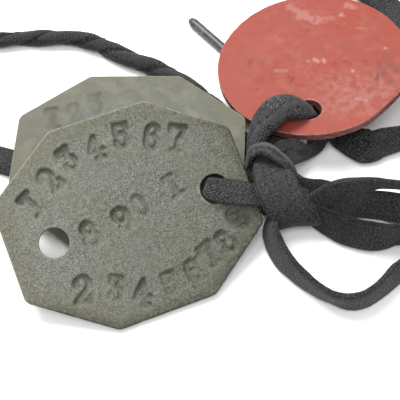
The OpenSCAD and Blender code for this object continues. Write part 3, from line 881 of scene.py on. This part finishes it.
def back_paint(x, y):
    pale = spots(x, y, [(11.0, 6.5, 16.0, 4.0, 1.2, 0.28), (9.5, 8.8, 12.0, 6.0, 0.9, 0.25),
                        (4.0, 13.6, 7.5, 11.0, 0.8, 0.16), (-6.0, 14.4, -3.2, 13.2, 0.8, 0.14),
                        (-2.6, 12.9, 1.0, 14.2, 0.6, 0.12)], 1.4, 175)
    n = value_noise(x, y, 2.6, 177) + 0.6 * value_noise(x, y, 0.9, 178)
    pale = np.maximum(pale, 0.13 * smooth(0.15 + 0.8 * n))
    grime = 0.16 * smooth(0.1 + 0.9 * (value_noise(x, y, 3.4, 179)
                                       + 0.5 * value_noise(x, y, 1.1, 180)))
    return np.c_[pale, grime, 0 * x]


def red_paint(x, y):
    pale = spots(x, y, [(-3.0, 13.9, -0.6, 12.0, 0.9, 0.42), (-0.9, 11.6, 1.8, 9.9, 1.2, 0.50),
                        (1.6, 10.4, 4.0, 9.8, 0.7, 0.30),
                        (5.9, 10.6, 6.1, 10.2, 0.5, 0.75), (7.4, 12.7, 8.1, 12.3, 0.8, 0.5),
                        (0.4, 0.1, 1.0, -0.2, 0.45, 0.75), (1.9, 0.2, 2.1, -0.6, 0.42, 0.85),
                        (-0.8, 0.0, -0.5, -0.2, 0.28, 0.5), (6.5, -3.2, 6.6, -3.5, 0.3, 0.8),
                        (12.5, 1.3, 12.7, 1.2, 0.28, 0.8), (6.6, -9.5, 8.0, -10.1, 0.55, 0.55),
                        (-6.0, -1.6, -4.6, -1.9, 0.5, 0.35), (8.8, 6.6, 9.6, 6.4, 0.5, 0.3),
                        (10.2, -7.2, 13.0, -8.2, 0.5, 0.35), (8.0, -8.0, 8.4, -13.0, 0.45, 0.25),
                        (-6.8, 6.8, -5.4, 6.0, 1.0, 0.18)], 0.7, 181)
    region = np.exp(-(((x - 7.2) / 7.2) ** 4 + ((y + 8.4) / 5.2) ** 4))
    n = value_noise(x, y, 0.75, 183) + 0.6 * value_noise(x, y, 0.35, 184)
    pale = np.maximum(pale, region * 0.40 * smooth(0.52 + 0.45 * n))
    n = value_noise(x, y, 1.7, 185) + 0.5 * value_noise(x, y, 0.6, 186)
    pale = np.maximum(pale, 0.12 * smooth(0.1 + 0.8 * n) * (y > -7) * smooth((x + 16) / 12))
    side = np.exp(-(((x - 12.8) / 2.6) ** 2 + ((y + 5.2) / 4.2) ** 2))
    grime = side * 0.52 * smooth(0.5 + 0.6 * value_noise(x, y, 1.3, 187))
    dark = 0.55 * spots(x, y, [(10.7, -3.9, 10.4, -7.0, 0.22, 0.6)], 0.5, 189)
    return np.c_[pale, grime, dark]


front = plate("tag_front_stamped", front_edge, [(-12.2, -0.5), (13.4, -0.7)],
              2.25, 1.1, (19.1, 15.9), 0.16, front_relief, octo_fray(151), 161,
              ([-13.1, -16.8, 7.56], [22.5, 8.5], 23.5), front_paint, lip=0.34)
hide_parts("tag_front")
back = plate("tag_back_stamped", octo_edge, [(-12.8, -0.3), (12.8, -0.3)],
             2.25, 1.1, (19.1, 15.9), 0.24, back_relief, octo_fray(153), 163,
             ([-14.5, -4.7, 4.6], [5.5, -4], -3), back_paint)
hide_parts("tag_back")


def red_edge(x, y):
    """Round, worn flatter over a stretch at the lower right."""
    a = np.degrees(np.arctan2(y, x))
    return 16.5 - 0.42 * np.exp(-((a + 46) / 14) ** 2) - np.hypot(x, y)


red = plate("disc_red_worn", red_edge, [(-1.3, -11)],
            2.1, 1.5, (16.6, 16.6), 0.2, red_relief, red_fray, 165,
            ([16.64, 14.51, 6.03], [-3.6, -8.3], 0), red_paint, lip=0.2,
            fray_amp=0.07)
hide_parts("disc_red")


# ---------------------------------------------------------------- materials
def new_material(name):
    m = bpy.data.materials.new(name)
    m.use_nodes = True
    nt = m.node_tree
    for n in list(nt.nodes):
        nt.nodes.remove(n)
    out = nt.nodes.new("ShaderNodeOutputMaterial")
    b = nt.nodes.new("ShaderNodeBsdfPrincipled")
    nt.links.new(b.outputs[0], out.inputs[0])
    return m, nt, b


def set_material(ob, m):
    ob.data.materials.clear()
    ob.data.materials.append(m)


class Graph:
    """Short names for the nodes of one material."""

    def __init__(self, nt):
        self.nt = nt

    def put(self, sock, v):
        if isinstance(v, bpy.types.NodeSocket):
            self.nt.links.new(v, sock)
        elif isinstance(v, tuple) and len(v) == 3 and sock.type == "RGBA":
            sock.default_value = (*v, 1)
        else:
            sock.default_value = v

    def attr(self, name):
        n = self.nt.nodes.new("ShaderNodeAttribute")
        n.attribute_name = name
        return n

    def parts(self, v):
        n = self.nt.nodes.new("ShaderNodeSeparateXYZ")
        self.put(n.inputs[0], v)
        return n.outputs[0], n.outputs[1], n.outputs[2]

    def join(self, x, y, z):
        n = self.nt.nodes.new("ShaderNodeCombineXYZ")
        for i, v in enumerate((x, y, z)):
            self.put(n.inputs[i], v)
        return n.outputs[0]

    def m(self, op, a, b=0.0, c=0.0, clamp=False):
        n = self.nt.nodes.new("ShaderNodeMath")
        n.operation = op
        n.use_clamp = clamp
        for i, v in enumerate((a, b, c)):
            self.put(n.inputs[i], v)
        return n.outputs[0]

    def noise(self, vec, scale, detail=2.0, rough=0.5, off=0.0):
        n = self.nt.nodes.new("ShaderNodeTexNoise")
        n.noise_dimensions = "4D"
        self.put(n.inputs["Vector"], vec)
        n.inputs["W"].default_value = off
        n.inputs["Scale"].default_value = scale
        n.inputs["Detail"].default_value = detail
        n.inputs["Roughness"].default_value = rough
        return n.outputs[0]

    def span(self, v, a, b, lo=0.0, hi=1.0):
        """v from a..b carried to lo..hi, smoothly and within it."""
        n = self.nt.nodes.new("ShaderNodeMapRange")
        n.interpolation_type = "SMOOTHSTEP"
        self.put(n.inputs[0], v)
        for i, k in enumerate((a, b, lo, hi)):
            n.inputs[i + 1].default_value = k
        return n.outputs[0]

    def mix(self, f, a, b, blend="MIX"):
        n = self.nt.nodes.new("ShaderNodeMix")
        n.data_type = "RGBA"
        n.blend_type = blend
        self.put(n.inputs[0], f)
        self.put(n.inputs[6], a)
        self.put(n.inputs[7], b)
        return n.outputs[2]

    def grey(self, v):
        n = self.nt.nodes.new("ShaderNodeCombineColor")
        for i in range(3):
            self.put(n.inputs[i], v)
        return n.outputs[0]

    def bump(self, height, distance, strength=1.0):
        n = self.nt.nodes.new("ShaderNodeBump")
        n.inputs["Strength"].default_value = strength
        n.inputs["Distance"].default_value = distance
        self.put(n.inputs["Height"], height)
        return n.outputs[0]


def fibre(name, warm, cool, edge, wall, wall_dark, rim, grain, grain_size,
          pit_dark, rough, off, wall_grain=1.0, shade=(0.0, 0.0), arris_shade=None,
          ring_k=1.0, mottle=0.0):
    m, nt, b = new_material(name)
    g = Graph(nt)
    loc = g.attr("loc").outputs["Vector"]
    e, h, pit = g.parts(g.attr("form").outputs["Vector"])
    pale, grime, dark = g.parts(g.attr("paint").outputs["Vector"])
    side = g.attr("wall").outputs["Fac"]
    big = g.noise(loc, 0.13, 2, 0.5, off)
    mid = g.noise(loc, 0.55, 3, 0.6, off + 3)
    fine = g.noise(loc, 1.0 / grain_size, 2, 0.65, off + 5)
    speck = g.noise(loc, 2.1 / grain_size, 1, 0.5, off + 7)
    tone = g.m("ADD", g.m("MULTIPLY", big, 0.75), g.m("MULTIPLY", mid, 0.25))
    col = g.mix(g.span(tone, 0.36, 0.64), warm, cool)
    rim_k = g.m("MULTIPLY", g.span(e, 4.2, 0.4), g.span(mid, 0.30, 0.62, 0.35, 1.0))
    col = g.mix(g.m("MULTIPLY", rim_k, 0.75), col, edge)
    # salt and pepper
    k = g.m("ADD", g.m("MULTIPLY", g.m("SUBTRACT", fine, 0.5), 3.0 * grain),
            g.m("MULTIPLY", g.m("SUBTRACT", speck, 0.5), 3.0 * grain))
    k = g.m("MULTIPLY", k, g.m("SUBTRACT", 1.0, g.m("MULTIPLY", pit, 0.6, clamp=True)))
    k = g.m("MULTIPLY", k, g.span(g.noise(loc, 0.16, 2, 0.5, off + 23), 0.38, 0.58, 0.70, 1.12))
    k = g.m("ADD", k, g.m("MULTIPLY", g.m("SUBTRACT", mid, 0.5), 0.35))
    if mottle:
        blot = g.m("SUBTRACT", g.noise(loc, 1.55, 2, 0.6, off + 19), 0.5)
        k = g.m("ADD", k, g.m("MULTIPLY", blot, mottle))
    u, v, z = g.parts(loc)
    # painted shade: the colour darkens towards the lower right and lightens towards the upper left, set by
    # shade
    k = g.m("ADD", k, g.m("ADD", g.m("MULTIPLY", u, shade[0]), g.m("MULTIPLY", v, shade[1])))
    k = g.m("MAXIMUM", g.m("ADD", k, 1.0), 0.15)
    col = g.mix(1.0, col, g.grey(k), "MULTIPLY")
    # painted shade in the pits: punched grooves and dents are darkened, on the front tag also the stroke
    # sides turned from the light
    col = g.mix(g.m("MULTIPLY", pit, pit_dark, clamp=True), col,
                g.mix(1.0, col, (0.40, 0.37, 0.29), "MULTIPLY"))
    col = g.mix(pale, col, rim)
    col = g.mix(grime, col, wall_dark)
    col = g.mix(dark, col, tuple(0.35 * v for v in wall))
    # worn arris (on the front tag darkened at the lower right as painted shade), worn ring round the holes,
    # rough cut wall
    ring = g.m("MULTIPLY", g.span(h, 0.42, 0.10), g.span(mid, 0.40, 0.60, 0.05, 0.55 * ring_k))
    col = g.mix(ring, col, rim)
    worn = rim
    if arris_shade is not None:
        # painted shade: the lower right arris and a strip of face along it, turned from the light, are
        # darkened; the upper left arris keeps the pale worn colour
        near = g.span(g.m("SUBTRACT", g.m("MULTIPLY", u, 0.55), v), -5.0, 3.0)
        zone = g.m("MULTIPLY", g.span(e, 1.9, 0.25),
                   g.span(g.noise(loc, 2.4, 3, 0.65, off + 17), 0.42, 0.60, 1.0, 0.25))
        col = g.mix(g.m("MULTIPLY", g.m("MULTIPLY", zone, near), 0.62), col, arris_shade)
        worn = g.mix(near, rim, arris_shade)
    arris = g.m("MULTIPLY", g.span(side, 0.05, 0.40), g.span(side, 0.99, 0.70))
    arris = g.m("MULTIPLY", arris, g.span(g.noise(loc, 1.4, 3, 0.6, off + 11), 0.40, 0.60, 0.25, 1.0))
    col = g.mix(arris, col, worn)
    layers = g.noise(g.join(g.m("MULTIPLY", u, 0.5), g.m("MULTIPLY", v, 0.5),
                            g.m("MULTIPLY", z, 5.0)), 1.0, 2, 0.5, off + 13)
    cut = g.m("ADD", g.m("MULTIPLY", layers, 0.5),
              g.m("MULTIPLY", g.noise(loc, 2.6, 2, 0.6, off + 15), 0.5 * wall_grain))
    wcol = g.mix(g.span(cut, 0.40, 0.60), wall_dark, wall)
    col = g.mix(g.span(side, 0.80, 1.0), col, wcol)
    nt.links.new(col, b.inputs["Base Color"])
    b.inputs["Roughness"].default_value = rough
    b.inputs["Specular IOR Level"].default_value = 0.35
    hgt = g.m("ADD", g.m("MULTIPLY", fine, 0.6), g.m("MULTIPLY", speck, 0.4))
    nt.links.new(g.bump(hgt, 0.00006 if grain > 0.3 else 0.00002, 0.8), b.inputs["Normal"])
    return m


# painted shade on the front tag: shade darkens it towards the lower right, and the lower right arris gets the
# dark arris colour
set_material(front, fibre(
    "green_fibre_front", warm=(0.120, 0.120, 0.0935), cool=(0.120, 0.1245, 0.1065),
    edge=(0.098, 0.096, 0.066), wall=(0.050, 0.047, 0.033), wall_dark=(0.012, 0.012, 0.009),
    rim=(0.215, 0.205, 0.155), grain=0.98, grain_size=0.18, pit_dark=0.66,
    rough=0.72, off=1.0, shade=(-0.008, 0.004), arris_shade=(0.030, 0.029, 0.019), ring_k=0.45,
    mottle=0.75))
set_material(back, fibre(
    "green_fibre_back", warm=(0.101, 0.102, 0.076), cool=(0.109, 0.111, 0.091),
    edge=(0.112, 0.108, 0.076), wall=(0.26, 0.24, 0.14), wall_dark=(0.14, 0.13, 0.08),
    rim=(0.29, 0.275, 0.20), grain=0.22, grain_size=0.22, pit_dark=0.55,
    rough=0.68, off=21.0))
set_material(red, fibre(
    "red_fibre", warm=(0.256, 0.0435, 0.0265), cool=(0.243, 0.0485, 0.0325),
    edge=(0.262, 0.045, 0.030), wall=(0.25, 0.080, 0.070), wall_dark=(0.085, 0.032, 0.034),
    rim=(0.36, 0.185, 0.155), grain=0.07, grain_size=0.35, pit_dark=0.52,
    rough=0.62, off=41.0))


def lace_material(name, base, fleck, off, weave=1.0, size=1.0, grainy=1.0):
    m, nt, b = new_material(name)
    g = Graph(nt)
    lv = g.attr("lace").outputs["Vector"]
    s, u, rim = g.parts(lv)
    felt = g.attr("felt").outputs["Fac"]
    flat = g.join(s, u, 0.0)
    w1 = g.noise(flat, 1.1, 2, 0.5, off)
    w2 = g.noise(flat, 1.1, 2, 0.5, off + 30)
    uu = g.m("ADD", u, g.m("MULTIPLY", w2, 0.45))
    v = g.m("PINGPONG", g.m("ADD", uu, 20.0), 0.40 * size)
    ph = g.m("ADD", g.m("MULTIPLY", s, 1 / (0.62 * size)), g.m("MULTIPLY", v, 2.3 / size))
    ph = g.m("ADD", ph, g.m("MULTIPLY", w1, 1.5))
    st = g.m("ADD", g.m("MULTIPLY", g.m("SINE", g.m("MULTIPLY", ph, 2 * math.pi)), 0.5), 0.5)
    colm = g.m("SINE", g.m("MULTIPLY", v, math.pi / (0.40 * size)))
    hgt = g.m("MULTIPLY", g.m("POWER", st, 1.1), g.m("ADD", g.m("MULTIPLY", colm, 0.7), 0.3))
    hgt = g.m("MULTIPLY", hgt, g.span(g.noise(flat, 3.0 / size, 2, 0.6, off + 12), 0.36, 0.57, 0.05, 1.5))
    long = g.noise(g.join(g.m("MULTIPLY", s, 0.10), g.m("MULTIPLY", u, 1.5), 0.0), 1.0, 2, 0.5, off + 14)
    bold = g.m("MULTIPLY", g.m("SUBTRACT", 1.0, g.m("MULTIPLY", felt, 0.85)), weave)
    bold = g.m("MULTIPLY", bold, g.m("SUBTRACT", 1.0, g.m("MULTIPLY", g.m("ABSOLUTE", rim), 1.8), clamp=True))
    bold = g.m("MULTIPLY", bold, g.span(g.noise(flat, 0.22, 2, 0.5, off + 8), 0.34, 0.58, 0.45, 1.0))
    fuzz = g.noise(flat, 4.2, 3, 0.7, off + 2)
    tone = g.m("ADD", g.m("MULTIPLY", g.m("SUBTRACT", g.m("MULTIPLY", hgt, 2.9), 0.66), bold),
               g.m("MULTIPLY", g.span(fuzz, 0.34, 0.66), 1.15 * grainy))
    tone = g.m("ADD", tone, g.m("MULTIPLY", g.m("SUBTRACT", g.noise(flat, 0.30, 2, 0.5, off + 4), 0.5), 0.7))
    tone = g.m("ADD", tone, g.m("MULTIPLY", g.m("SUBTRACT", long, 0.5), 1.1))
    # the third channel lifts the fold band and carries the painted shade (rims, under folds, rope creases,
    # shaded rows) and the painted light of lightened rows
    tone = g.m("ADD", tone, g.m("MULTIPLY", rim, 2.1))
    nap = g.m("SUBTRACT", g.noise(flat, 1.9, 3, 0.65, off + 16), 0.52)
    tone = g.m("ADD", tone, g.m("MULTIPLY", felt, g.m("ADD", g.m("MULTIPLY", nap, 3.6 * grainy), 0.15)))
    tone = g.m("MAXIMUM", g.m("ADD", tone, 0.34), 0.10)
    col = g.mix(1.0, base, g.grey(tone), "MULTIPLY")
    col = g.mix(g.m("MULTIPLY", g.span(g.noise(flat, 3.6, 2, 0.6, off + 6), 0.61, 0.70), 0.60),
                col, fleck)
    nt.links.new(col, b.inputs["Base Color"])
    b.inputs["Roughness"].default_value = 0.88
    b.inputs["Specular IOR Level"].default_value = 0.25
    b.inputs["Sheen Weight"].default_value = 0.10
    b.inputs["Sheen Roughness"].default_value = 0.5
    hh = g.m("ADD", g.m("MULTIPLY", hgt, bold), g.m("MULTIPLY", fuzz, 0.45))
    nt.links.new(g.bump(hh, 0.00014, 0.9), b.inputs["Normal"])
    return m


lace_mat = lace_material("lace_black", (0.026, 0.0265, 0.028), (0.15, 0.15, 0.155), 3.0)
rope_mat = lace_material("lace_rolled", (0.028, 0.027, 0.027), (0.12, 0.12, 0.12), 9.0, 0.7)
felt_mat = lace_material("lace_knot", (0.0265, 0.0262, 0.0266), (0.15, 0.15, 0.152), 15.0, 0.75)
# painted shade: the end strap and the big loop get darker copies of the lace base to hold down the light on
# them; their bolder weave and heavier nap are the lace's own texture
end_mat = lace_material("lace_end", (0.0198, 0.0200, 0.0205), (0.15, 0.15, 0.155), 27.0, 1.8, 1.12)
bow_mat = lace_material("lace_worn_and_shaded", (0.0225, 0.0222, 0.0218), (0.15, 0.15, 0.152), 33.0, 1.2, 1.25, 1.55)
for o in (bow_small, core):
    set_material(o, lace_mat)
set_material(bow_large, bow_mat)
set_material(end_long, end_mat)
set_material(neck, rope_mat)
set_material(wrap, felt_mat)

ag_mat, nt, b = new_material("aglet_dark")
g = Graph(nt)
tc = nt.nodes.new("ShaderNodeTexCoord")
n1 = g.noise(tc.outputs["Object"], 900.0, 3, 0.6, 2.0)
n2 = g.noise(tc.outputs["Object"], 220.0, 2, 0.5, 4.0)
c1 = g.mix(g.span(n1, 0.35, 0.65), (0.030, 0.031, 0.034), (0.075, 0.076, 0.08))
nt.links.new(g.mix(g.span(n2, 0.52, 0.64), c1, (0.14, 0.14, 0.142)), b.inputs["Base Color"])
nt.links.new(g.m("ADD", g.m("MULTIPLY", n1, 0.25), 0.28), b.inputs["Roughness"])
for o in (aglet_1, aglet_2):
    set_material(o, ag_mat)

# ---------------------------------------------------------------- floor, light
bpy.ops.mesh.primitive_plane_add(size=3.0, location=(0, 0, 0))
floor = bpy.context.object
floor.name = "floor"
fm, nt, bsdf = new_material("floor")
bsdf.inputs["Base Color"].default_value = (0.96, 0.96, 0.96, 1)
bsdf.inputs["Roughness"].default_value = 0.9
set_material(floor, fm)
world = bpy.data.worlds.new("world")
bpy.context.scene.world = world
world.use_nodes = True
world.node_tree.nodes["Background"].inputs[0].default_value = (1, 1, 1, 1)
world.node_tree.nodes["Background"].inputs[1].default_value = 0.75


def area(name, loc, target, size, power):
    d = bpy.data.lights.new(name, "AREA")
    d.shape = "DISK"
    d.size = size
    d.energy = power
    o = bpy.data.objects.new(name, d)
    o.location = loc
    o.rotation_euler = (Vector(target) - Vector(loc)).to_track_quat("-Z", "Y").to_euler()
    bpy.context.scene.collection.objects.link(o)
    return o


area("key", (-0.14, 0.175, 0.375), (0, 0, 0), 0.26, 2.29)
area("fill", (-0.04, -0.17, 0.44), (0, 0, 0), 0.24, 0.72)
bpy.context.scene.view_settings.view_transform = "Standard"
